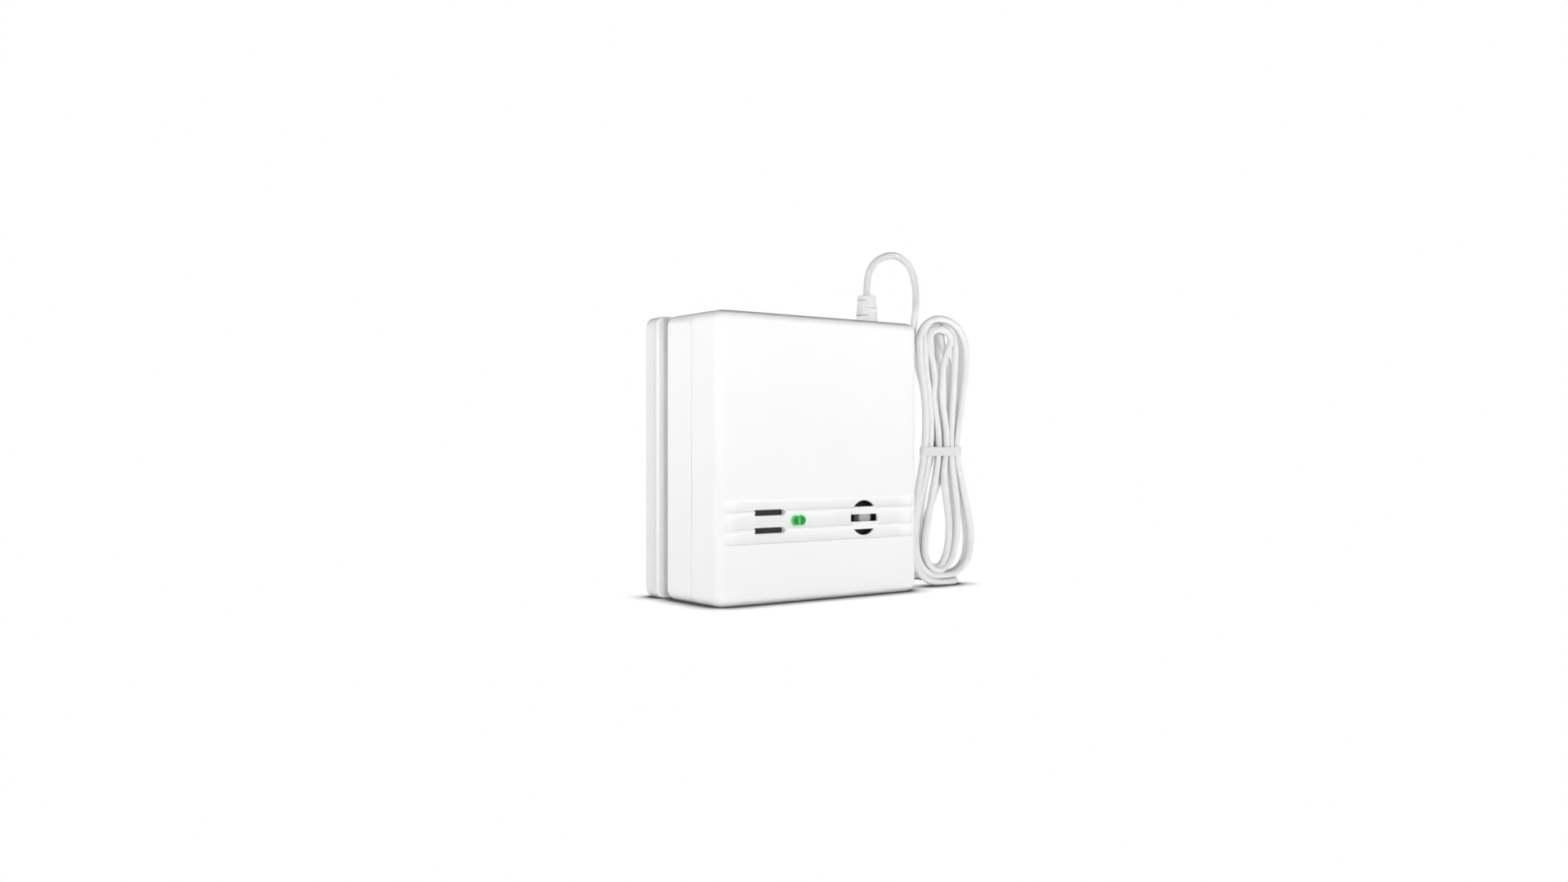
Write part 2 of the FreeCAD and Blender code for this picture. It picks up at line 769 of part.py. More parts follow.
def terminal_screws():
    """Slotted screws of the terminal block."""
    face = board_front_y - terminal_depth + terminal_screw_sink
    screws = []
    for x in terminal_sides():
        level = terminal_z - terminal_screw_sink
        head = rod(x, level, terminal_screw_radius, face, face + terminal_screw_depth)
        slit = slab(x - terminal_screw_radius, x + terminal_screw_radius, face - 1, face + terminal_screw_sink,
                    level - leg_width / 2, level + leg_width / 2)
        screws.append(head.cut(slit))
    return Part.makeCompound(screws)


def strain_relief():
    """Turned form of the moulded relief: inner flange, neck in the wall and notched tapered body."""
    inner = case_height - wall
    body = Part.makeCone(relief_base_radius, relief_top_radius, relief_height, V(relief_x, parting_y, case_height))
    rim = [edge for edge in body.Edges if edge.BoundBox.ZMin > relief_top_z - 1e-3]
    body = body.makeFillet(relief_round, rim)
    for index, level in enumerate(relief_notch_levels):
        low = case_height + level - relief_notch_height / 2
        reach = relief_base_radius + 1
        for side in (-1, 1):
            near, far = sorted((side * relief_notch_core, side * reach))
            if index % 2:
                notch = slab(relief_x - reach, relief_x + reach, parting_y + near, parting_y + far,
                             low, low + relief_notch_height)
            else:
                notch = slab(relief_x + near, relief_x + far, parting_y - reach, parting_y + reach,
                             low, low + relief_notch_height)
            body = body.cut(notch)
    neck = post(relief_x, parting_y, relief_neck_radius, inner, case_height)
    flange = post(relief_x, parting_y, relief_flange_radius, inner - relief_flange_depth, inner)
    relief = body.fuse(neck).fuse(flange)
    relief = relief.cut(post(relief_x, parting_y, lead_radius + lead_fit, inner - wall, relief_top_z + 1))
    return relief.removeSplitter()


def inner_lead():
    """The lead from the top of its relief down through the clamp, inside the case."""
    return post(relief_x, parting_y, lead_radius, inner_lead_end, relief_top_z)


def lead_cores():
    """The two cores from the end of the jacket into the terminal block."""
    cores = []
    top = terminal_z + terminal_height / 2
    entry_y = board_front_y - terminal_entry_offset
    for side, x in zip((-1, 1), terminal_sides()):
        start_x = relief_x + side * core_spread
        bend_z = inner_lead_end - core_drop
        lift_z = top + core_rise
        route = (
            (start_x, parting_y, inner_lead_end),
            (start_x, parting_y, bend_z),
            ((start_x + x) / 2, (parting_y + entry_y) / 2, board_notch_z + core_clearance),
            (x, entry_y, lift_z),
            (x, entry_y, top - terminal_entry_depth / 2),
        )
        tube, length, bends = tube_along(route, core_radius)
        cores.append(tube)
    return Part.makeCompound(cores)


def lead_clamp():
    """Bar that presses the lead on its saddle."""
    right = min(relief_x + clamp_half_width, half_width - wall - fit_gap)
    bar = slab(relief_x - clamp_half_width, right, parting_y - clamp_thickness, parting_y,
               clamp_top - clamp_height, clamp_top)
    bar = bar.cut(post(relief_x, parting_y, lead_radius + lead_fit, clamp_top - 2 * clamp_height, case_height))
    for side in (-1, 1):
        bar = bar.cut(rod(relief_x + side * clamp_screw_offset, clamp_top - clamp_height / 2,
                          clamp_screw_radius + fit_gap, parting_y - clamp_thickness - 1, parting_y + 1))
    return bar


def clamp_screws():
    """Two small screws of the clamp."""
    return Part.makeCompound([
        bolt(relief_x + side * clamp_screw_offset, clamp_top - clamp_height / 2, clamp_screw_radius,
             clamp_screw_head_radius, clamp_screw_head_height,
             parting_y - clamp_thickness - clamp_screw_head_height, parting_y + clamp_screw_bite)
        for side in (-1, 1)
    ])


def battery_cradle():
    """Open tray for two cells on the housing's rear wall."""
    y0 = housing_inner_y - cradle_floor - cradle_side_height
    tray = slab(-cradle_half_length, cradle_half_length, y0, housing_inner_y, cradle_bottom, cradle_top)
    inner_half = cradle_half_length - cradle_wall
    for level in cell_levels:
        low = level - cell_radius - cell_air
        tray = tray.cut(slab(-inner_half, inner_half, y0 - 1, housing_inner_y - cradle_floor,
                             low, low + 2 * (cell_radius + cell_air)))
    finger = slab(-cell_length / 4, cell_length / 4, y0 - 1, y0 + cradle_side_height / 2,
                  cradle_bottom - 1, cradle_top + 1)
    tray = tray.cut(finger)
    middle = (cell_levels[0] + cell_levels[1]) / 2
    for side in (-1, 1):
        near, far = sorted((side * (inner_half - cradle_notch), side * inner_half))
        tray = tray.cut(slab(near, far, y0 - 1, housing_inner_y - cradle_floor, middle - cradle_wall,
                             middle + cradle_wall))
    return tray


def cell_form(level, plus):
    """One cell lying along X, its plus end to the side given by plus."""
    axis = V(plus, 0, 0)
    start = V(-plus * cell_length / 2, cell_y, level)
    can = Part.makeCylinder(cell_radius, cell_length, start, axis)
    rims = [edge for edge in can.Edges if edge.BoundBox.XLength < 1e-3]
    can = can.makeFillet(cell_edge, rims)
    nub = Part.makeCylinder(cell_nub_radius, cell_nub_height, V(plus * cell_length / 2, cell_y, level), axis)
    return can.fuse(nub)


def cells():
    """The two cells, laid opposite ways."""
    return cell_form(cell_levels[0], 1), cell_form(cell_levels[1], -1)


def plate_contact(side, levels):
    """Flat contact plate at one end of the bay, with a solder tab to the board."""
    inner = side * (cradle_half_length - cradle_wall)
    low_x, high_x = sorted((inner, inner - side * contact_thickness))
    low = min(levels) - contact_half_width
    high = max(levels) + contact_half_width
    plate = slab(low_x, high_x, cell_y - contact_half_width, housing_inner_y - cradle_floor, low, high)
    tab = slab(low_x, high_x, board_back_y, cell_y, max(levels) - tab_width / 2, max(levels) + tab_width / 2)
    return plate.fuse(tab)


def leaf(side, level, reach):
    """Bent leaf that stands off a contact plate and presses a cell's end."""
    base = side * (cradle_half_length - cradle_wall - contact_thickness)
    tip = base - side * reach
    thick = contact_thickness
    low = cell_y - contact_half_width
    crest = cell_y
    high = cell_y + contact_half_width
    outline = Part.makePolygon([
        V(base, low, level), V(tip, crest, level), V(base, high, level),
        V(base, high - thick * 2, level), V(tip + side * thick * 1.4, crest, level),
        V(base, low + thick * 2, level), V(base, low, level),
    ])
    face = Part.Face(outline)
    return face.extrude(V(0, 0, contact_half_width)).fuse(face.extrude(V(0, 0, -contact_half_width)))


def end_gap(plus):
    """Free length between a contact plate and the cell's minus or plus end."""
    inner = cradle_half_length - cradle_wall - contact_thickness
    return inner - cell_length / 2 - (cell_nub_height if plus else 0)


def battery_link():
    """Right hand contact that joins the lower cell's plus end to the upper cell's minus end."""
    plate = plate_contact(1, cell_levels)
    plus_leaf = leaf(1, cell_levels[0], end_gap(True))
    minus_leaf = leaf(1, cell_levels[1], end_gap(False))
    return plate.fuse(plus_leaf).fuse(minus_leaf)


def battery_negative():
    """Left hand contact of the lower cell's minus end."""
    level = cell_levels[0]
    return plate_contact(-1, (level,)).fuse(leaf(-1, level, end_gap(False)))


def battery_positive():
    """Left hand contact of the upper cell's plus end."""
    level = cell_levels[1]
    return plate_contact(-1, (level,)).fuse(leaf(-1, level, end_gap(True)))


def wall_bracket():
    """Moulded tray screwed to the wall, with hooks and pads for the case."""
    half = half_width + bracket_overhang
    top = case_height + bracket_rise
    tray = rounded_block(half, 0, top, bracket_corner_radius, bracket_front_y, bracket_back_y)
    front_rim = [edge for edge in tray.Edges if edge.BoundBox.YMax < bracket_front_y + 1e-3]
    tray = tray.makeFillet(bracket_front_round, front_rim)
    rear_rim = [edge for edge in tray.Edges if edge.BoundBox.YMin > bracket_back_y - 1e-3]
    tray = tray.makeFillet(bracket_rear_round, rear_rim)
    line_y = bracket_front_y + bracket_line_offset
    line = rounded_block(half + 1, -1, top + 1, bracket_corner_radius + 1, line_y, line_y + bracket_line_width)
    line = line.cut(rounded_block(half - bracket_line_depth, bracket_line_depth, top - bracket_line_depth,
                                  bracket_corner_radius - bracket_line_depth, line_y - 1, line_y + 2))
    tray = tray.cut(line)
    hollow = rounded_block(half - bracket_wall, bracket_wall, top - bracket_wall,
                           bracket_corner_radius - bracket_wall, bracket_front_y + bracket_wall,
                           bracket_back_y + 1)
    tray = tray.cut(hollow)

    rib_y = bracket_back_y - bracket_rib_setback
    floor_y = bracket_front_y + bracket_wall - fit_gap
    for side in (-1, 1):
        x = side * bracket_rib_x
        tray = tray.fuse(slab(x - bracket_rib_thickness / 2, x + bracket_rib_thickness / 2, floor_y, rib_y,
                              bracket_wall / 2, top - bracket_wall / 2))
    for z in bracket_rib_z:
        tray = tray.fuse(slab(-half + bracket_wall / 2, half - bracket_wall / 2, floor_y, rib_y,
                              z - bracket_rib_thickness / 2, z + bracket_rib_thickness / 2))
    for side in (-1, 1):
        x = side * bracket_hole_x
        tray = tray.fuse(rod(x, bracket_hole_z, bracket_boss_radius, floor_y, bracket_back_y))
    for side in (-1, 1):
        x = side * bracket_hole_x
        tray = tray.cut(rod(x, bracket_hole_z, bracket_hole_radius, bracket_front_y - 1, bracket_back_y + 1))
        sink = Part.makeCone(bracket_sink_radius, bracket_hole_radius, bracket_sink_depth,
                             V(x, bracket_front_y, bracket_hole_z), V(0, 1, 0))
        tray = tray.cut(sink)

    for x, z in pad_places:
        tray = tray.fuse(rod(x, z, pad_radius, housing_back_y, bracket_front_y + fit_gap))
    lip_back = housing_inner_y - fit_gap
    for x, z in hook_places:
        stem = slab(x - hook_width / 2, x + hook_width / 2, lip_back - hook_lip_depth,
                    bracket_front_y + fit_gap, z - hook_stem, z)
        lip = slab(x - hook_width / 2, x + hook_width / 2, lip_back - hook_lip_depth, lip_back,
                   z - hook_stem, z + hook_lip)
        tray = tray.fuse(stem.fuse(lip))
    return tray.removeSplitter()


def signal_lead():
    """Free lead from the strain relief over to the hank."""
    return tube_along(arch_route, lead_radius)


def lead_tail():
    """Free lead from the hank along the floor to the probe."""
    return tube_along(tail_route, lead_radius)


def hank_outline():
    """Outline of the hank: foot, waist at the tie, crown, and the ledge where the free lead comes down."""
    y = hank_front_y

    def at(x, z):
        return V(half_width + x, y, z)

    ledge_left = at(hank_left_side[0][0], ledge_top)
    ledge_right = at(hank_left_side[0][0] + ledge_width, ledge_top)
    floor_left = at(hank_floor[0], 0)
    floor_right = at(hank_floor[1], 0)
    right_points = [at(x, z) for x, z in hank_right_side]
    waist_right = at(hank_waist[1], hank_tie_z)
    right_points = right_points[:4] + [waist_right] + right_points[4:]
    crown_points = [at(x, hank_top - drop) for x, drop in hank_crown]
    right = Part.BSplineCurve()
    right.interpolate(Points=[floor_right] + right_points + crown_points + [ledge_right],
                      InitialTangent=V(1, 0, 0.5), FinalTangent=V(-0.5, 0, -1))
    left_points = [at(x, hank_top - drop) for x, drop in hank_left_side]
    foot_points = [at(x, z) for x, z in hank_foot_side]
    left = Part.BSplineCurve()
    left.interpolate(Points=[ledge_left] + left_points + [at(hank_waist[0], hank_tie_z)] + foot_points + [floor_left],
                     InitialTangent=V(0, 0, -1), FinalTangent=V(1, 0, -0.5))
    return Part.Wire([
        right.toShape(),
        Part.makeLine(ledge_right, ledge_left),
        left.toShape(),
        Part.makeLine(floor_left, floor_right),
    ])


def cord_hank():
    """Outer shape of the tied hank, with the strand that comes down to it at its left."""
    return Part.Face(hank_outline()).extrude(V(0, hank_depth, 0))


def hank_tie():
    """Flat tie round the waist of the hank."""
    margin = fit_gap
    low = hank_tie_z - tie_height / 2
    high = hank_tie_z + tie_height / 2
    inner_left = half_width + hank_waist[0] - margin * 2
    inner_right = half_width + hank_waist[1] + margin * 2
    outer = slab(inner_left - tie_thickness, inner_right + tie_thickness, hank_front_y - tie_thickness,
                 hank_back_y + tie_thickness, low, high)
    rim = [edge for edge in outer.Edges if edge.BoundBox.ZLength > tie_height - 1e-3]
    outer = outer.makeFillet(tie_round, rim)
    return outer.cut(slab(inner_left, inner_right, hank_front_y, hank_back_y, low - 1, high + 1))


def probe_form(inset):
    """Oblong form of the probe with rounded corners, standing on its contacts."""
    x1 = probe_end_x - inset
    x0 = probe_end_x - probe_length + inset
    low = probe_y - probe_width / 2 + inset
    high = probe_y + probe_width / 2 - inset
    block = slab(x0, x1, low, high, contact_stand, probe_height)
    upright = [edge for edge in block.Edges if edge.BoundBox.ZLength > probe_height / 2]
    return block.makeFillet(probe_corner_radius - inset, upright)


def probe_layer(z0, z1):
    """Everything between two levels round the probe."""
    return slab(-case_width, case_width, probe_y - probe_width, probe_y + probe_width, z0, z1)


def grommet_bore():
    """Hole for the grommet in the end of the probe."""
    return Part.makeCylinder(grommet_radius + lead_fit, 2 * grommet_sunk,
                             V(probe_end_x - grommet_sunk, probe_y, grommet_z), V(1, 0, 0))


def probe_cover():
    """Upper shell of the water probe."""
    shell = probe_form(0)
    top = [edge for edge in shell.Edges if edge.BoundBox.ZMin > probe_height - 1e-3]
    shell = shell.makeFillet(probe_round, top)
    shell = shell.cut(probe_layer(0, probe_level))
    seam = probe_form(-probe_seam).cut(probe_form(probe_seam))
    shell = shell.cut(seam.common(probe_layer(probe_level, probe_level + probe_seam)))
    hollow = probe_form(probe_round).common(probe_layer(0, probe_height - probe_round))
    keep = slab(probe_end_x - 2 * grommet_sunk, probe_end_x, probe_y - probe_width, probe_y + probe_width, 0,
                probe_height)
    shell = shell.cut(hollow.cut(keep))
    return shell.cut(grommet_bore())


def contact_places():
    """The x places of the two contacts."""
    middle = probe_end_x - probe_length / 2
    return (middle - contact_spacing / 2, middle + contact_spacing / 2)


def probe_contact(x):
    """One metal button under the probe."""
    button = Part.makeCylinder(contact_radius, contact_stand + contact_sunk, V(x, probe_y, 0))
    rim = [edge for edge in button.Edges if edge.BoundBox.ZMax < 1e-3]
    return button.makeFillet(contact_stand / 2, rim)


def probe_base():
    """Lower plate of the water probe, with its contacts' seats."""
    plate = probe_form(0).common(probe_layer(0, probe_level))
    for x in contact_places():
        plate = plate.cut(Part.makeCylinder(contact_radius + lead_fit, contact_sunk, V(x, probe_y, contact_stand)))
    return plate.cut(grommet_bore())


def probe_contacts():
    """The two contacts that the water joins."""
    return Part.makeCompound([probe_contact(x) for x in contact_places()])


def probe_grommet():
    """Tapered sleeve where the lead enters the probe."""
    sunk = Part.makeCylinder(grommet_radius, grommet_sunk, V(probe_end_x - grommet_sunk, probe_y, grommet_z),
                             V(1, 0, 0))
    taper = Part.makeCone(grommet_radius, grommet_tip_radius, grommet_length,
                          V(probe_end_x, probe_y, grommet_z), V(1, 0, 0))
    return sunk.fuse(taper).removeSplitter()


NODES = {
    "front_cover": front_cover,
    "rear_housing": rear_housing,
    "rim_seal": rim_seal,
    "case_screws": case_screws,
    "vent_filter": vent_filter,
    "circuit_board": circuit_board,
    "board_screws": board_screws,
    "light_pipe": light_pipe,
    "status_led": status_led,
    "sounder_case": sounder_case,
    "sounder_diaphragm": sounder_diaphragm,
    "radio_board": radio_board,
    "radio_shield": radio_shield,
    "antenna": antenna,
    "controller_chip": controller_chip,
    "reserve_capacitor": reserve_capacitor,
    "terminal_block": terminal_block,
    "terminal_screws": terminal_screws,
    "strain_relief": strain_relief,
    "inner_lead": inner_lead,
    "lead_cores": lead_cores,
    "lead_clamp": lead_clamp,
    "clamp_screws": clamp_screws,
    "battery_cradle": battery_cradle,
    "battery_link": battery_link,
    "battery_negative": battery_negative,
    "battery_positive": battery_positive,
    "wall_bracket": wall_bracket,
    "cord_hank": cord_hank,
    "hank_tie": hank_tie,
    "probe_cover": probe_cover,
    "probe_base": probe_base,
    "probe_contacts": probe_contacts,
    "probe_grommet": probe_grommet,
}


def save(name, shape):
    """Write one sub-part."""
    shape.exportStep("parts/" + name + ".step")
    print(name, "solids", len(shape.Solids), "volume", round(shape.Volume, 1), "valid", shape.isValid())


os.makedirs("parts", exist_ok=True)
for name, make in NODES.items():
    save(name, make())
lower_cell, upper_cell = cells()
save("battery_lower", lower_cell)
save("battery_upper", upper_cell)
for name, make in (("signal_lead", signal_lead), ("lead_tail", lead_tail)):
    tube, length, bends = make()
    save(name, tube)
    print(name, "length", round(length, 1), "section times length", round(math.pi * lead_radius ** 2 * length, 1))
    print(name, "bend radii", [round(bend, 1) for bend in bends])
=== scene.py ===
import math

import bpy
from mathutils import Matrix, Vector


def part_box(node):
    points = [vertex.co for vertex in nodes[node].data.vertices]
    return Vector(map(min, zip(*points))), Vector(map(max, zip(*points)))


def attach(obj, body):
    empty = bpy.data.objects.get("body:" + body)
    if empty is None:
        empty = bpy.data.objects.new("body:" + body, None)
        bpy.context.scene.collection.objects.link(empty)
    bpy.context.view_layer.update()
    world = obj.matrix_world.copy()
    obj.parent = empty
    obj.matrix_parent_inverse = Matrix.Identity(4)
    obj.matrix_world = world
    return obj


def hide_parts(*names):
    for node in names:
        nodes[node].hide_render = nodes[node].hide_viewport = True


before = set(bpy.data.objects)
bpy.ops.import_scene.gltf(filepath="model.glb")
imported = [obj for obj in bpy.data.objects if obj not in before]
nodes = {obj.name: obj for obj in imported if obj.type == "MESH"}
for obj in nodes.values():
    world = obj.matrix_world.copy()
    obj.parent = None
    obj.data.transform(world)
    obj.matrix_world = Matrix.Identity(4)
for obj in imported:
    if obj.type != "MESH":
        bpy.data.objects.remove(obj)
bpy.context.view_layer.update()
bpy.context.scene.view_settings.view_transform = "Standard"


# Wall bracket: a shallow moulded tray that is screwed to the wall. Ribs stiffen it behind, and four pads
# and three hooks carry the case a shadow gap away from it. It is injection moulded in white ABS with a
# satin skin.
def fed(tree, socket, value):
    """Link a socket to another one, or set it to a plain value."""
    if hasattr(value, "is_output"):
        tree.links.new(value, socket)
    else:
        socket.default_value = value


def mixed(tree, kind, factor, low, high):
    """A number or a colour that goes from low to high with the factor."""
    mix = tree.nodes.new("ShaderNodeMix")
    mix.data_type = kind
    tree.links.new(factor, mix.inputs["Factor"])
    fed(tree, mix.inputs["A"], low)
    fed(tree, mix.inputs["B"], high)
    return mix.outputs["Result"]


def ranged(tree, value, start, stop, low=0.0, high=1.0, easing="SMOOTHSTEP"):
    """A number that goes from low to high while the value goes from start to stop."""
    change = tree.nodes.new("ShaderNodeMapRange")
    change.interpolation_type = easing
    for name, number in (("From Min", start), ("From Max", stop), ("To Min", low), ("To Max", high)):
        change.inputs[name].default_value = number
    tree.links.new(value, change.inputs["Value"])
    return change.outputs["Result"]


def clouded(tree, scale, detail):
    """Soft noise on object coordinates."""
    place = tree.nodes.new("ShaderNodeTexCoord")
    noise = tree.nodes.new("ShaderNodeTexNoise")
    noise.inputs["Scale"].default_value = scale
    noise.inputs["Detail"].default_value = detail
    tree.links.new(place.outputs["Object"], noise.inputs["Vector"])
    return noise.outputs["Fac"]


def opaque(colour, level=1.0):
    """A colour at a level, with its fourth value."""
    return (*[min(1.0, level * part) for part in colour], 1.0)


def moulded(name, colour, roughness, grain=0.0, grain_scale=2600.0, specular=0.5):
    """Plastic or rubber with a faint cloud in its colour and a fine moulded grain."""
    material = bpy.data.materials.new(name)
    material.use_nodes = True
    tree = material.node_tree
    shader = tree.nodes["Principled BSDF"]
    shader.inputs["Roughness"].default_value = roughness
    shader.inputs["Specular IOR Level"].default_value = specular
    cloud = clouded(tree, scale=60.0, detail=2.0)
    shade = mixed(tree, "RGBA", cloud, opaque(colour, level=0.985), opaque(colour, level=1.01))
    tree.links.new(shade, shader.inputs["Base Color"])
    if grain:
        relief = tree.nodes.new("ShaderNodeBump")
        relief.inputs["Strength"].default_value = grain
        relief.inputs["Distance"].default_value = 0.0001
        tree.links.new(clouded(tree, grain_scale, detail=3.0), relief.inputs["Height"])
        tree.links.new(relief.outputs["Normal"], shader.inputs["Normal"])
    return material


def painted(material):
    """The node tree of a material, its colour input, and the colour that goes into it."""
    face = material.node_tree.nodes["Principled BSDF"].inputs["Base Color"]
    return material.node_tree, face, face.links[0].from_socket


def reach(tree, centre, spans):
    """How far a place on a piece is from a centre, in the spans of an oval round it."""
    place = tree.nodes.new("ShaderNodeTexCoord")
    frame = tree.nodes.new("ShaderNodeMapping")
    frame.inputs["Location"].default_value = [-middle / span for middle, span in zip(centre, spans)]
    frame.inputs["Scale"].default_value = [1.0 / span for span in spans]
    length = tree.nodes.new("ShaderNodeVectorMath")
    length.operation = "LENGTH"
    tree.links.new(place.outputs["Object"], frame.inputs["Vector"])
    tree.links.new(frame.outputs["Vector"], length.inputs[0])
    return length.outputs["Value"]


def faded(tree, value, start, stop, inside, outside):
    """A colour that goes from the inside one to the outside one between two values."""
    ends = [end if hasattr(end, "is_output") else opaque(end) for end in (inside, outside)]
    return mixed(tree, "RGBA", ranged(tree, value, start, stop), *ends)


weld_distance = 0.000002
flat_angle = math.radians(0.4)
sharp_angle = math.radians(38.0)
smooth_angle = math.radians(32.0)


def only(piece):
    """Select one piece and nothing else."""
    bpy.ops.object.select_all(action="DESELECT")
    piece.select_set(True)
    bpy.context.view_layer.objects.active = piece


def welded(node, name, material, softness=0.0):
    """Copy a solid as one welded skin with softened edges, finish it and let it stand for the solid."""
    piece = nodes[node].copy()
    piece.data = nodes[node].data.copy()
    piece.name = name
    piece.parent = None
    bpy.context.scene.collection.objects.link(piece)
    only(piece)
    bpy.ops.object.mode_set(mode="EDIT")
    bpy.ops.mesh.select_all(action="SELECT")
    bpy.ops.mesh.remove_doubles(threshold=weld_distance)
    bpy.ops.mesh.dissolve_limited(angle_limit=flat_angle)
    bpy.ops.object.mode_set(mode="OBJECT")
    if softness:
        bevel = piece.modifiers.new("softness", "BEVEL")
        bevel.width = softness
        bevel.segments = 2
        bevel.limit_method = "ANGLE"
        bevel.angle_limit = sharp_angle
        bpy.ops.object.modifier_apply(modifier=bevel.name)
    bpy.ops.object.shade_smooth_by_angle(angle=smooth_angle)
    flats = piece.modifiers.new("flats", "WEIGHTED_NORMAL")
    flats.keep_sharp = True
    bpy.ops.object.modifier_apply(modifier=flats.name)
    piece.data.materials.clear()
    piece.data.materials.append(material)
    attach(piece, "root")
    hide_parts(node)
    return piece


# The bracket's faces are painted a darker white than the shells, as painted shade, and its front rim paler,
# as a painted highlight. Spans this wide take no part in a reach.
wide = 10.0
rim_painted_highlight = (0.97, 0.97, 0.97)
rim_back = 0.0110
rim_half_width = 0.0351
bracket_white = moulded("bracket_satin_white", (0.81, 0.81, 0.81), roughness=0.5, grain=0.12, specular=0.2)
bracket_tree, bracket_face, bracket_plain = painted(bracket_white)
rim_depth = reach(bracket_tree, (0.0, rim_back, 0.0), (wide, 0.001, wide))
bracket_rim_highlight = faded(bracket_tree, rim_depth, 0.3, 0.9, rim_painted_highlight, bracket_plain)
rim_width = reach(bracket_tree, (0.0, 0.0, 0.0), (rim_half_width, wide, wide))
bracket_painted_light = faded(bracket_tree, rim_width, 0.985, 1.005, bracket_plain, bracket_rim_highlight)
bracket_tree.links.new(bracket_painted_light, bracket_face)
welded("wall_bracket", "bracket_tray", bracket_white, softness=0.00015)


# Rear housing: the deep moulded shell that hangs on the bracket's hooks. Its lip enters the cover behind a
# rubber seal, and four zinc plated screws draw the two shells together from the back.
def coated(material, *names):
    """Give solids that stay as they are their finish."""
    for name in names:
        nodes[name].data.materials.clear()
        nodes[name].data.materials.append(material)


def metal(name, colour, roughness, scratch):
    """Bare or plated metal with a faint unevenness in its gloss."""
    material = bpy.data.materials.new(name)
    material.use_nodes = True
    tree = material.node_tree
    shader = tree.nodes["Principled BSDF"]
    shader.inputs["Base Color"].default_value = opaque(colour)
    shader.inputs["Metallic"].default_value = 1.0
    gloss = clouded(tree, scale=700.0, detail=4.0)
    spread = ranged(tree, gloss, 0.0, 1.0, roughness - scratch, roughness + scratch, "LINEAR")
    tree.links.new(spread, shader.inputs["Roughness"])
    return material


shell_soft = 0.00012
shell_white = moulded("shell_satin_white", (0.93, 0.93, 0.93), roughness=0.5, grain=0.10, specular=0.2)
welded("rear_housing", "rear_shell", shell_white, softness=shell_soft)
seal_rubber = moulded(
    "seal_black_rubber", (0.030, 0.030, 0.032), roughness=0.75, grain=0.3, grain_scale=1800.0
)
coated(seal_rubber, "rim_seal")
zinc = metal("zinc_plated_steel", (0.62, 0.62, 0.64), roughness=0.34, scratch=0.08)
welded("case_screws", "case_screw_set", zinc, softness=0.00008)

# Battery bay: a cradle moulded in black plastic on the housing's rear wall. It holds two dry cells in grey
# wrappers between contacts and a link of bent steel, which is nickel plated.
cradle_black = moulded("cradle_black", (0.025, 0.025, 0.026), roughness=0.5, grain=0.15)
nickel = metal("nickel_plated_springs", (0.72, 0.70, 0.66), roughness=0.28, scratch=0.06)
cell_wrap = moulded("cell_grey_wrap", (0.06, 0.07, 0.09), roughness=0.3)
coated(cradle_black, "battery_cradle")
coated(nickel, "battery_link", "battery_negative", "battery_positive")
coated(cell_wrap, "battery_lower", "battery_upper")

# Circuit board: glass fibre laminate under green solder mask, screwed down inside the case. The radio board
# with its tinned shield and copper antenna, the controller and the reserve capacitor are soldered to it.
board_green = moulded("solder_mask_green", (0.012, 0.115, 0.045), roughness=0.35)
chip_black = moulded("chip_black", (0.018, 0.018, 0.018), roughness=0.55, grain=0.2, grain_scale=4000.0)
tinned = metal("tinned_shield", (0.70, 0.70, 0.70), roughness=0.3, scratch=0.08)
copper = metal("bare_copper", (0.85, 0.45, 0.28), roughness=0.3, scratch=0.06)
can_metal = metal("rolled_can", (0.75, 0.75, 0.77), roughness=0.25, scratch=0.05)
coated(board_green, "circuit_board", "radio_board")
coated(zinc, "board_screws")
coated(tinned, "radio_shield")
coated(copper, "antenna")
coated(chip_black, "controller_chip")
coated(can_metal, "reserve_capacitor")

# Lead entry: a green moulded terminal block on the board takes the two sleeved cores of the inner lead
# under its screws. A white plastic bar, screwed down over the lead, clamps it so that a pull never reaches
# the terminals.
terminal_green = moulded("terminal_green", (0.02, 0.20, 0.07), roughness=0.45)
core_red = moulded("core_sleeve_red", (0.42, 0.02, 0.015), roughness=0.4)
clip_plastic = moulded("clamp_white", (0.82, 0.82, 0.80), roughness=0.5, grain=0.1)
coated(terminal_green, "terminal_block")
coated(zinc, "terminal_screws", "clamp_screws")
coated(core_red, "lead_cores")
coated(clip_plastic, "lead_clamp")

# Sounder: a black moulded cup on the board with a pale disc on a stem, close behind the barred opening of
# the cover. The disc's colour is painted from grey in its middle to near black at its edge, as painted
# shade of the cup.
sounder_black = moulded("sounder_black", (0.010, 0.010, 0.010), roughness=0.55)
sounder_grey = moulded("sounder_grey", (0.46, 0.46, 0.46), roughness=0.45)
row_level = 0.0226
disc_middle = (0.0160, -0.0165, row_level)
disc_middle_grey = (0.42, 0.42, 0.42)
disc_edge_painted_shade = (0.03, 0.03, 0.03)
disc_tree = sounder_grey.node_tree
disc_reach = reach(disc_tree, disc_middle, (0.001, 1.0, 0.001))
disc_shade = faded(disc_tree, disc_reach, 1.4, 3.0, disc_middle_grey, disc_edge_painted_shade)
disc_tree.links.new(disc_shade, disc_tree.nodes["Principled BSDF"].inputs["Base Color"])
welded("sounder_case", "sounder_cup", sounder_black, softness=0.00010)
welded("sounder_diaphragm", "sounder_disc", sounder_grey)

# Vent filter: a pad of open black foam that is cut from sheet and pressed in behind the two slots of the
# cover, so that air gets in and dust stays out.
foam_black = moulded(
    "filter_black_foam", (0.045, 0.045, 0.045), roughness=0.95, grain=0.8, grain_scale=1500.0, specular=0.2
)
coated(foam_black, "vent_filter")
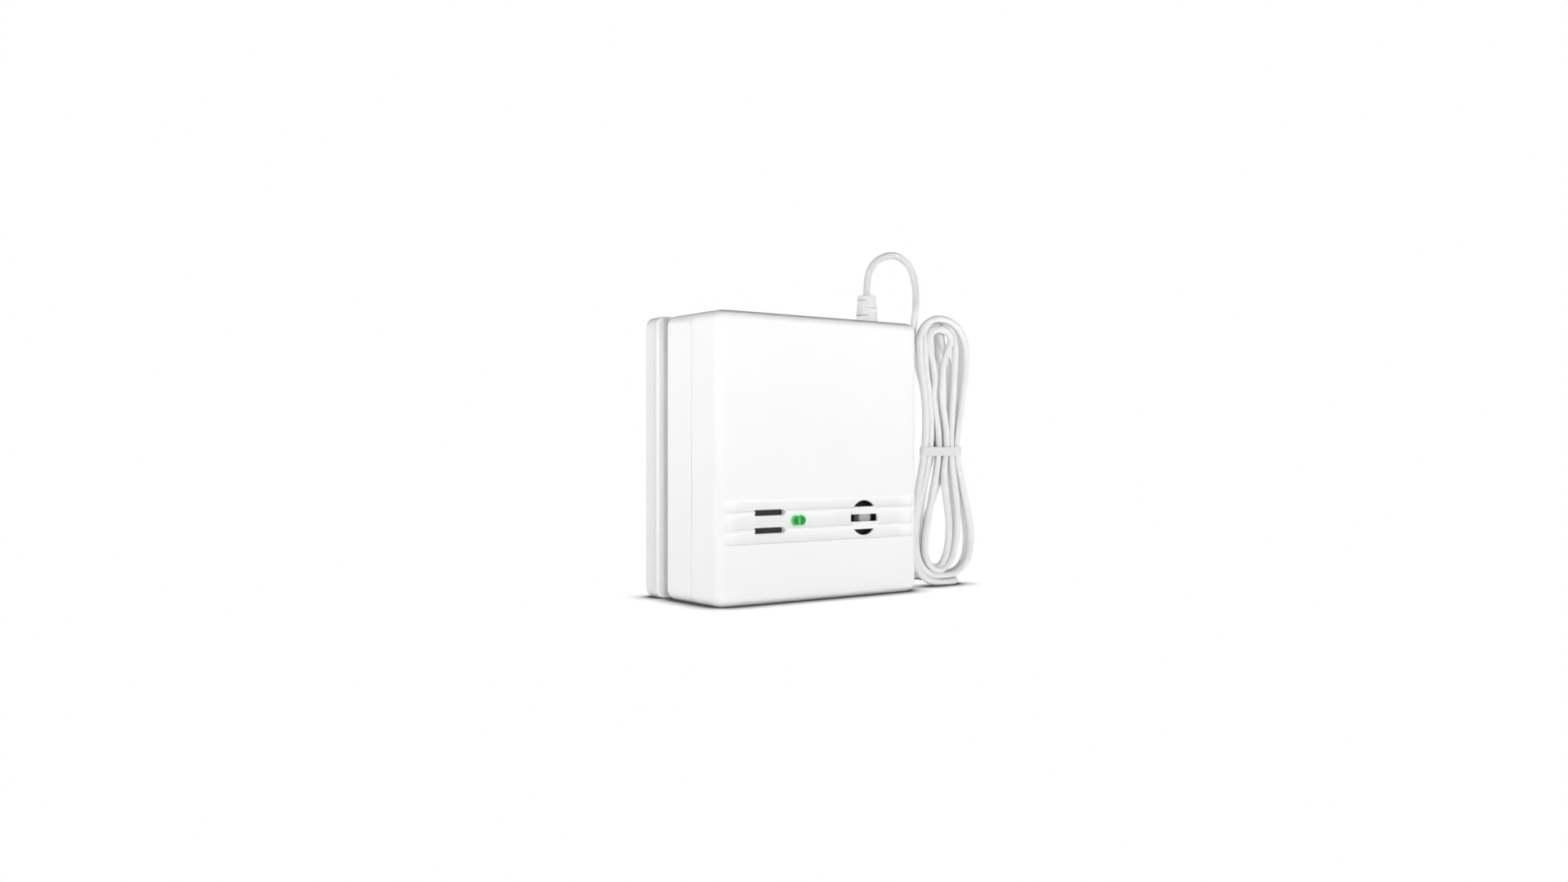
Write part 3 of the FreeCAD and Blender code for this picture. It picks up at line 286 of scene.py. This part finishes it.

# Status light: a pale lamp on the board behind a green clear moulding, which is pressed into an oval hole
# of the cover. A painted bright stripe of light down its middle parts the window into two darker lobes, a
# painted glow lies on its edge, and the window is made to glow a little in these colours.
lamp_pale = moulded("lamp_pale", (0.55, 0.80, 0.58), roughness=0.4)
coated(lamp_pale, "status_led")
stripe_painted_light = (0.075, 0.52, 0.14)
lobe_green = (0.006, 0.20, 0.022)
edge_painted_glow = (0.10, 0.50, 0.16)
window_middle = (-0.0088, -0.0185, row_level)
window_half_width, window_half_height = 0.0024, 0.00145
window_green = moulded("window_clear_green", (0.012, 0.27, 0.035), roughness=0.18)
window_tree = window_green.node_tree
window_shader = window_tree.nodes["Principled BSDF"]
stripe_reach = reach(window_tree, window_middle, (0.001, 1.0, 1.0))
lobes = faded(window_tree, stripe_reach, 0.1, 0.75, stripe_painted_light, lobe_green)
window_reach = reach(window_tree, window_middle, (window_half_width, 1.0, window_half_height))
window_painted_glow = faded(window_tree, window_reach, 0.72, 1.0, lobes, edge_painted_glow)
window_tree.links.new(window_painted_glow, window_shader.inputs["Base Color"])
window_tree.links.new(window_painted_glow, window_shader.inputs["Emission Color"])
window_shader.inputs["Emission Strength"].default_value = 0.12
welded("light_pipe", "status_window", window_green)

# Front cover: the front shell moulded in white ABS, with soft shoulders and round edges, screwed on from
# the back. A sunk band crosses its lower part with two ribs, and holds the slots, the window and the round
# sound opening behind two bars. The band and the top edge are painted greyer, as painted shade, and a
# painted green glow of the window lies on its surround.
band_painted_shade = (0.86, 0.86, 0.86)
brow_painted_shade = (0.72, 0.72, 0.72)
lamp_painted_glow = (0.62, 0.93, 0.68)
band_half_width = 0.0335
band_half_height = 0.0060
band_depth = -0.0179
brow_middle = (0.0, -0.0174, 0.0800)
cover_white = moulded("cover_satin_white", (0.93, 0.93, 0.93), roughness=0.5, grain=0.10, specular=0.2)
cover_tree, cover_face, cover_plain = painted(cover_white)
band_reach = reach(cover_tree, (0.0, band_depth, row_level), (band_half_width, 0.0005, 1.0))
band_shade_skin = faded(cover_tree, band_reach, 0.80, 1.02, band_painted_shade, cover_plain)
band_level = reach(cover_tree, (0.0, 0.0, row_level), (wide, wide, band_half_height))
band_level_shade_skin = faded(cover_tree, band_level, 0.98, 1.02, band_shade_skin, cover_plain)
brow_reach = reach(cover_tree, brow_middle, (wide, 0.0017, 0.0010))
brow_shade_skin = faded(cover_tree, brow_reach, 0.5, 1.1, brow_painted_shade, band_level_shade_skin)
lamp_spans = (window_half_width, window_half_width, window_half_height)
lamp_reach = reach(cover_tree, window_middle, lamp_spans)
cover_painted_light = faded(cover_tree, lamp_reach, 0.95, 1.7, lamp_painted_glow, brow_shade_skin)
cover_tree.links.new(cover_painted_light, cover_face)
welded("front_cover", "cover_shell", cover_white, softness=shell_soft)

# Strain relief: a sleeve of soft white plastic that is moulded round the lead and sits in the top of the
# case. It is tapered and notched, so that the lead bends evenly where it comes out.
relief_white = moulded("relief_soft_white", (0.84, 0.84, 0.84), roughness=0.5, grain=0.08)
welded("strain_relief", "relief_sleeve", relief_white, softness=shell_soft)

# Signal lead: one round lead of 2.1 mm in soft white plastic. It arches over from its relief, is folded
# into a hank of five turns beside the case, and runs on along the floor behind the object to the probe. The
# turns go inward against the back of the hank and outward again in front of it.
lead_white = moulded("lead_soft_white", (0.85, 0.85, 0.85), roughness=0.75, specular=0.02)
lead_tree, lead_face, lead_plain = painted(lead_white)
# The arch is painted greyer than the rest of the lead, as painted shade.
arch_painted_shade = (0.73, 0.73, 0.73)
arch_level, arch_half_height = 0.0960, 0.0110
arch_reach = reach(lead_tree, (0.0, 0.0, arch_level), (wide, wide, arch_half_height))
arch_shade_skin = faded(lead_tree, arch_reach, 0.8, 1.1, arch_painted_shade, lead_plain)
# Shade is painted into the creases between the turns, darkest down the middle of the hank.
crease_size = 0.005
middle_painted_shade = (0.34, 0.34, 0.34)
side_painted_shade = (0.68, 0.68, 0.68)
hank_middle, hank_spans = (0.0515, -0.0110, 0.0430), (0.0170, 0.0085, 0.0480)
middle_reach = reach(lead_tree, (0.0525, 0.0, 0.0500), (0.0052, 1.0, 0.060))
fold_painted_shade = faded(lead_tree, middle_reach, 0.85, 1.05, middle_painted_shade, side_painted_shade)
hank_reach = reach(lead_tree, hank_middle, hank_spans)
crease_painted_shade = faded(lead_tree, hank_reach, 0.95, 1.05, fold_painted_shade, arch_shade_skin)
openness = lead_tree.nodes.new("ShaderNodeAmbientOcclusion")
openness.inputs["Distance"].default_value = crease_size
lead_painted_shade = faded(lead_tree, openness.outputs["AO"], 0.05, 0.42, crease_painted_shade, arch_shade_skin)
lead_tree.links.new(lead_painted_shade, lead_face)
# The route in millimetres: the arch, the runs of the hank, each at its depth and the next one's in x and z,
# and the tail on the floor.
lead_diameter = 0.0021
arch_points = (
    (27.0, -5.2, 88.9), (27.0, -5.2, 94.3), (29.4, -5.2, 99.0), (34.6, -5.2, 101.9), (40.2, -5.2, 102.2),
    (44.3, -5.8, 99.0), (45.0, -7.3, 93.9), (43.9, -8.9, 87.0), (42.2, -9.7, 81.4),
)
hank_runs = (
    (-9.9, -9.9, (
        (41.3, 76.4), (42.3, 71.6), (44.3, 66.0), (46.2, 60.5), (46.9, 54.0), (46.9, 47.0), (46.2, 40.5),
        (44.8, 34.0), (43.2, 27.0), (42.2, 20.0), (41.9, 13.0), (43.0, 7.0), (47.0, 3.4), (54.0, 3.2),
        (60.5, 4.2), (64.0, 8.6),
    )),
    (-9.9, -8.8, (
        (64.6, 14.7), (63.8, 21.0), (62.2, 28.0), (60.4, 35.0), (59.5, 41.7), (59.7, 48.0), (60.8, 56.0),
        (61.9, 64.0), (62.6, 71.0), (62.4, 77.0), (59.6, 81.2), (55.0, 82.5), (51.2, 81.6), (49.7, 78.4),
    )),
    (-9.2, -9.8, (
        (49.9, 74.0), (49.8, 67.0), (50.0, 59.0), (50.5, 50.0), (49.9, 41.7), (47.4, 34.0), (45.4, 26.0),
        (44.4, 18.0), (44.8, 10.5), (48.2, 5.6), (53.2, 4.7), (57.4, 6.6),
    )),
    (-9.9, -9.3, (
        (59.0, 12.0), (59.6, 18.0), (58.9, 26.0), (57.8, 34.0), (57.2, 41.7), (57.4, 50.0), (57.5, 58.0),
        (57.5, 65.5), (57.1, 69.5), (55.2, 73.0), (54.2, 75.8),
    )),
    (-9.2, -4.4, ((54.0, 78.9), (54.9, 80.6), (56.1, 80.6), (56.9, 78.9))),
    (-4.4, -9.8, (
        (57.0, 74.5), (56.0, 69.0), (55.4, 63.0), (55.0, 57.0), (55.0, 51.0), (55.0, 46.5), (54.2, 41.7),
    )),
    (-9.8, -9.7, ((53.6, 36.5), (51.4, 30.0), (48.6, 24.0), (46.6, 18.5), (45.9, 13.5))),
    (-9.8, -11.7, ((46.2, 9.6), (47.2, 7.0), (49.4, 5.5), (51.8, 6.0), (53.5, 8.6))),
    (-12.2, -12.2, (
        (54.3, 12.5), (54.8, 19.0), (53.8, 25.5), (52.6, 31.0), (52.4, 36.0), (53.2, 41.7), (53.7, 47.0),
        (52.6, 52.5), (51.4, 58.6), (51.7, 64.0), (52.0, 68.6), (54.0, 72.8), (55.8, 76.6), (54.1, 79.0),
        (50.0, 79.7), (46.6, 78.4),
    )),
    (-12.2, -12.2, (
        (45.6, 74.4), (47.8, 69.5), (48.7, 64.0), (47.8, 58.6), (49.0, 52.5), (50.2, 47.0), (50.2, 41.7),
        (49.2, 35.0), (47.6, 29.0), (46.0, 22.0), (44.5, 15.0),
    )),
    (-12.0, -11.8, ((44.5, 9.5), (47.2, 5.4), (51.8, 4.6), (56.2, 7.6))),
    (-12.2, -12.2, (
        (57.7, 13.6), (58.4, 20.0), (57.9, 27.0), (56.6, 34.0), (55.3, 41.7), (55.6, 49.0), (56.2, 56.0),
        (56.8, 63.0), (57.2, 70.0), (57.5, 75.0),
    )),
    (-10.6, -10.6, ((57.4, 79.6), (54.0, 82.8), (49.2, 83.0), (45.4, 79.6))),
    (-12.1, -12.3, (
        (44.3, 73.5), (45.0, 66.0), (46.2, 60.0), (46.9, 53.0), (47.0, 47.0), (46.5, 41.7), (45.3, 36.0),
        (43.6, 30.0), (41.7, 24.9), (40.6, 20.5), (40.3, 14.0), (41.8, 7.6), (46.0, 3.7), (52.0, 3.1),
        (58.2, 3.7), (62.8, 7.4),
    )),
    (-12.3, -12.3, (
        (64.4, 13.0), (63.5, 20.0), (61.5, 26.6), (59.8, 33.0), (58.0, 38.5), (57.5, 43.5), (58.7, 49.5),
        (60.0, 55.0), (61.0, 61.0), (61.9, 67.0), (62.2, 73.0), (60.7, 78.2), (56.8, 81.7), (51.2, 83.1),
        (45.6, 81.8), (42.1, 78.0),
    )),
    (-12.4, -12.2, (
        (41.8, 73.5), (42.7, 67.0), (44.1, 60.5), (44.8, 54.0), (44.8, 47.0), (43.9, 40.0), (42.3, 33.5),
        (40.6, 26.0), (39.6, 19.0), (39.5, 12.0), (41.0, 5.8), (45.4, 1.8), (51.5, 1.05),
    )),
)
tail_points = (
    (57.0, -12.0, 1.05), (61.0, -8.6, 1.05), (61.2, -1.5, 1.05), (59.6, 8.5, 1.05), (58.8, 18.5, 1.05),
    (54.8, 27.2, 1.05), (49.8, 31.0, 3.375), (44.0, 31.0, 3.375),
)
route = list(arch_points)
for depth, next_depth, places in hank_runs:
    last = len(places) - 1
    for count, (x, z) in enumerate(places):
        route.append((x, depth + (next_depth - depth) * count / last, z))
route += tail_points

lead_curve = bpy.data.curves.new("lead_run", "CURVE")
lead_curve.dimensions = "3D"
lead_curve.bevel_depth = lead_diameter / 2
lead_curve.bevel_resolution = 6
lead_curve.resolution_u = 8
lead_curve.use_fill_caps = True
lead_spline = lead_curve.splines.new("NURBS")
lead_spline.points.add(len(route) - 1)
for point, place in zip(lead_spline.points, route):
    point.co = (*[part / 1000 for part in place], 1.0)
lead_spline.order_u = 3
lead_spline.use_endpoint_u = True
lead = bpy.data.objects.new("lead_run", lead_curve)
bpy.context.scene.collection.objects.link(lead)
lead_curve.materials.append(lead_white)
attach(lead, "root")
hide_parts("signal_lead", "cord_hank", "lead_tail")
coated(lead_white, "inner_lead")

# Tie: a thin flat band of soft white plastic, drawn tight round the waist of the hank and closed at its
# back. It is stretched to the hank's width, and its front half leans to the left with the turns under it.
tie_white = moulded("tie_white", (0.77, 0.77, 0.77), roughness=0.6, grain=0.05, specular=0.25)
tie = welded("hank_tie", "hank_band", tie_white, softness=0.0002)
tie_low, tie_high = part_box("hank_tie")
tie_middle = [(low + high) / 2 for low, high in zip(tie_low, tie_high)]
tie_ends = (0.0442, 0.0602)
tie_lean = 0.00105
tie_stretch = (tie_ends[1] - tie_ends[0]) / (tie_high[0] - tie_low[0])
tie_shift = sum(tie_ends) / 2 - tie_middle[0] + tie_lean
only(tie)
bpy.ops.object.mode_set(mode="EDIT")
bpy.ops.mesh.select_all(action="SELECT")
bpy.ops.transform.resize(value=(tie_stretch, 1.0, 1.0), center_override=tie_middle)
bpy.ops.transform.translate(value=(tie_shift, 0.0, 0.0))
bpy.ops.mesh.select_all(action="DESELECT")
bpy.ops.object.mode_set(mode="OBJECT")
for corner in tie.data.vertices:
    corner.select = corner.co.y < tie_middle[1]
bpy.ops.object.mode_set(mode="EDIT")
bpy.ops.transform.translate(value=(-2 * tie_lean, 0.0, 0.0))
bpy.ops.object.mode_set(mode="OBJECT")

# Probe: an oblong white moulding with two plated buttons under it, which the water joins, and a soft sleeve
# where the lead enters. Its top and its plate are two mouldings, closed on each other.
contact_metal = metal("plated_buttons", (0.83, 0.74, 0.50), roughness=0.25, scratch=0.05)
probe_top = welded("probe_cover", "probe_top", shell_white, softness=shell_soft)
probe_plate = welded("probe_base", "probe_plate", shell_white, softness=shell_soft)
probe_buttons = welded("probe_contacts", "probe_buttons", contact_metal)
probe_sleeve = welded("probe_grommet", "probe_sleeve", relief_white)

# Setting: a white floor that glows softly and darkens only where the object touches it, and a bright low
# surround that is strongest from the front left and dark overhead.
bpy.ops.object.select_all(action="DESELECT")
bpy.ops.mesh.primitive_plane_add(size=6.0, location=(0.0, 0.0, 0.0))
floor = bpy.context.object
floor.name = "floor"


def reckoned(tree, operation, *terms):
    """A number worked out from others, each of them a value or a socket."""
    step = tree.nodes.new("ShaderNodeMath")
    step.operation = operation
    for socket, term in zip(step.inputs, terms):
        fed(tree, socket, term)
    return step.outputs["Value"]


def seen_rays(tree):
    """One for the rays that show a surface itself, seen, in gloss or through clear pieces, else nought."""
    kind = tree.nodes.new("ShaderNodeLightPath")
    bare = reckoned(tree, "MAXIMUM", kind.outputs["Is Camera Ray"], kind.outputs["Is Glossy Ray"])
    return reckoned(tree, "MAXIMUM", bare, kind.outputs["Is Transmission Ray"])


def contact_shade(tree, distance, darkest):
    """The floor's level, one in the open and down to the darkest where a piece stands on it."""
    closeness = tree.nodes.new("ShaderNodeAmbientOcclusion")
    closeness.samples = 24
    closeness.inputs["Distance"].default_value = distance
    return ranged(tree, closeness.outputs["AO"], 0.50, 0.98, darkest, 1.0, "LINEAR")


floor_glow = 0.72
near_distance, far_distance = 0.003, 0.0075
floor_white = bpy.data.materials.new("floor_white")
floor_white.use_nodes = True
floor_tree = floor_white.node_tree
floor_tree.nodes.remove(floor_tree.nodes["Principled BSDF"])
lit_level = contact_shade(floor_tree, near_distance, darkest=0.10)
lighting = reckoned(floor_tree, "MULTIPLY", lit_level, floor_glow)
broad_shadow = contact_shade(floor_tree, far_distance, darkest=0.12)
line_shadow = contact_shade(floor_tree, near_distance, darkest=0.60)
shadow = reckoned(floor_tree, "MULTIPLY", broad_shadow, line_shadow)
shaded = mixed(floor_tree, "FLOAT", seen_rays(floor_tree), lighting, shadow)
floor_light = floor_tree.nodes.new("ShaderNodeEmission")
floor_tree.links.new(shaded, floor_light.inputs["Strength"])
floor_tree.links.new(floor_light.outputs["Emission"], floor_tree.nodes["Material Output"].inputs["Surface"])
floor.data.materials.append(floor_white)

ring_light, overhead_light = 7.0, 0.02
ring_low, ring_high = 0.04, 0.17
lean_side, lean_gain = (-0.60, -0.80, 0.0), 0.40
white_low, white_high = 0.40, 0.62
world = bpy.data.worlds.new("surround")
bpy.context.scene.world = world
world.use_nodes = True
sky = world.node_tree
sky_light = sky.nodes["Background"]
sky_place = sky.nodes.new("ShaderNodeTexCoord")
sky_parts = sky.nodes.new("ShaderNodeSeparateXYZ")
sky.links.new(sky_place.outputs["Generated"], sky_parts.inputs["Vector"])
front_left = sky.nodes.new("ShaderNodeVectorMath")
front_left.operation = "DOT_PRODUCT"
front_left.inputs[1].default_value = lean_side
sky.links.new(sky_place.outputs["Generated"], front_left.inputs[0])
lean = reckoned(sky, "MULTIPLY_ADD", front_left.outputs["Value"], lean_gain, 1.0)
ring = ranged(sky, sky_parts.outputs["Z"], ring_low, ring_high, ring_light, overhead_light)
leaning_ring = reckoned(sky, "MULTIPLY", ring, lean)
shown = ranged(sky, sky_parts.outputs["Z"], white_low, white_high, 1.0, 0.08)
sky.links.new(mixed(sky, "FLOAT", seen_rays(sky), leaning_ring, shown), sky_light.inputs["Strength"])
sky_light.inputs["Color"].default_value = (1.0, 1.0, 1.0, 1.0)

# Camera: it stands at the front left, at the height of the case's middle, and looks level, so that upright
# edges stay upright. A small shift sets the object at its height in the picture.
camera_data = bpy.data.cameras.new("camera")
camera = bpy.data.objects.new("camera", camera_data)
bpy.context.scene.collection.objects.link(camera)
bpy.context.scene.camera = camera
camera_data.sensor_width = 36.0
camera_data.lens = 29.29
camera_data.shift_y = 0.00417
camera.location = (-0.2247, -0.3005, 0.0429)
camera.rotation_euler = (math.radians(90.0), 0.0, math.radians(-36.73))
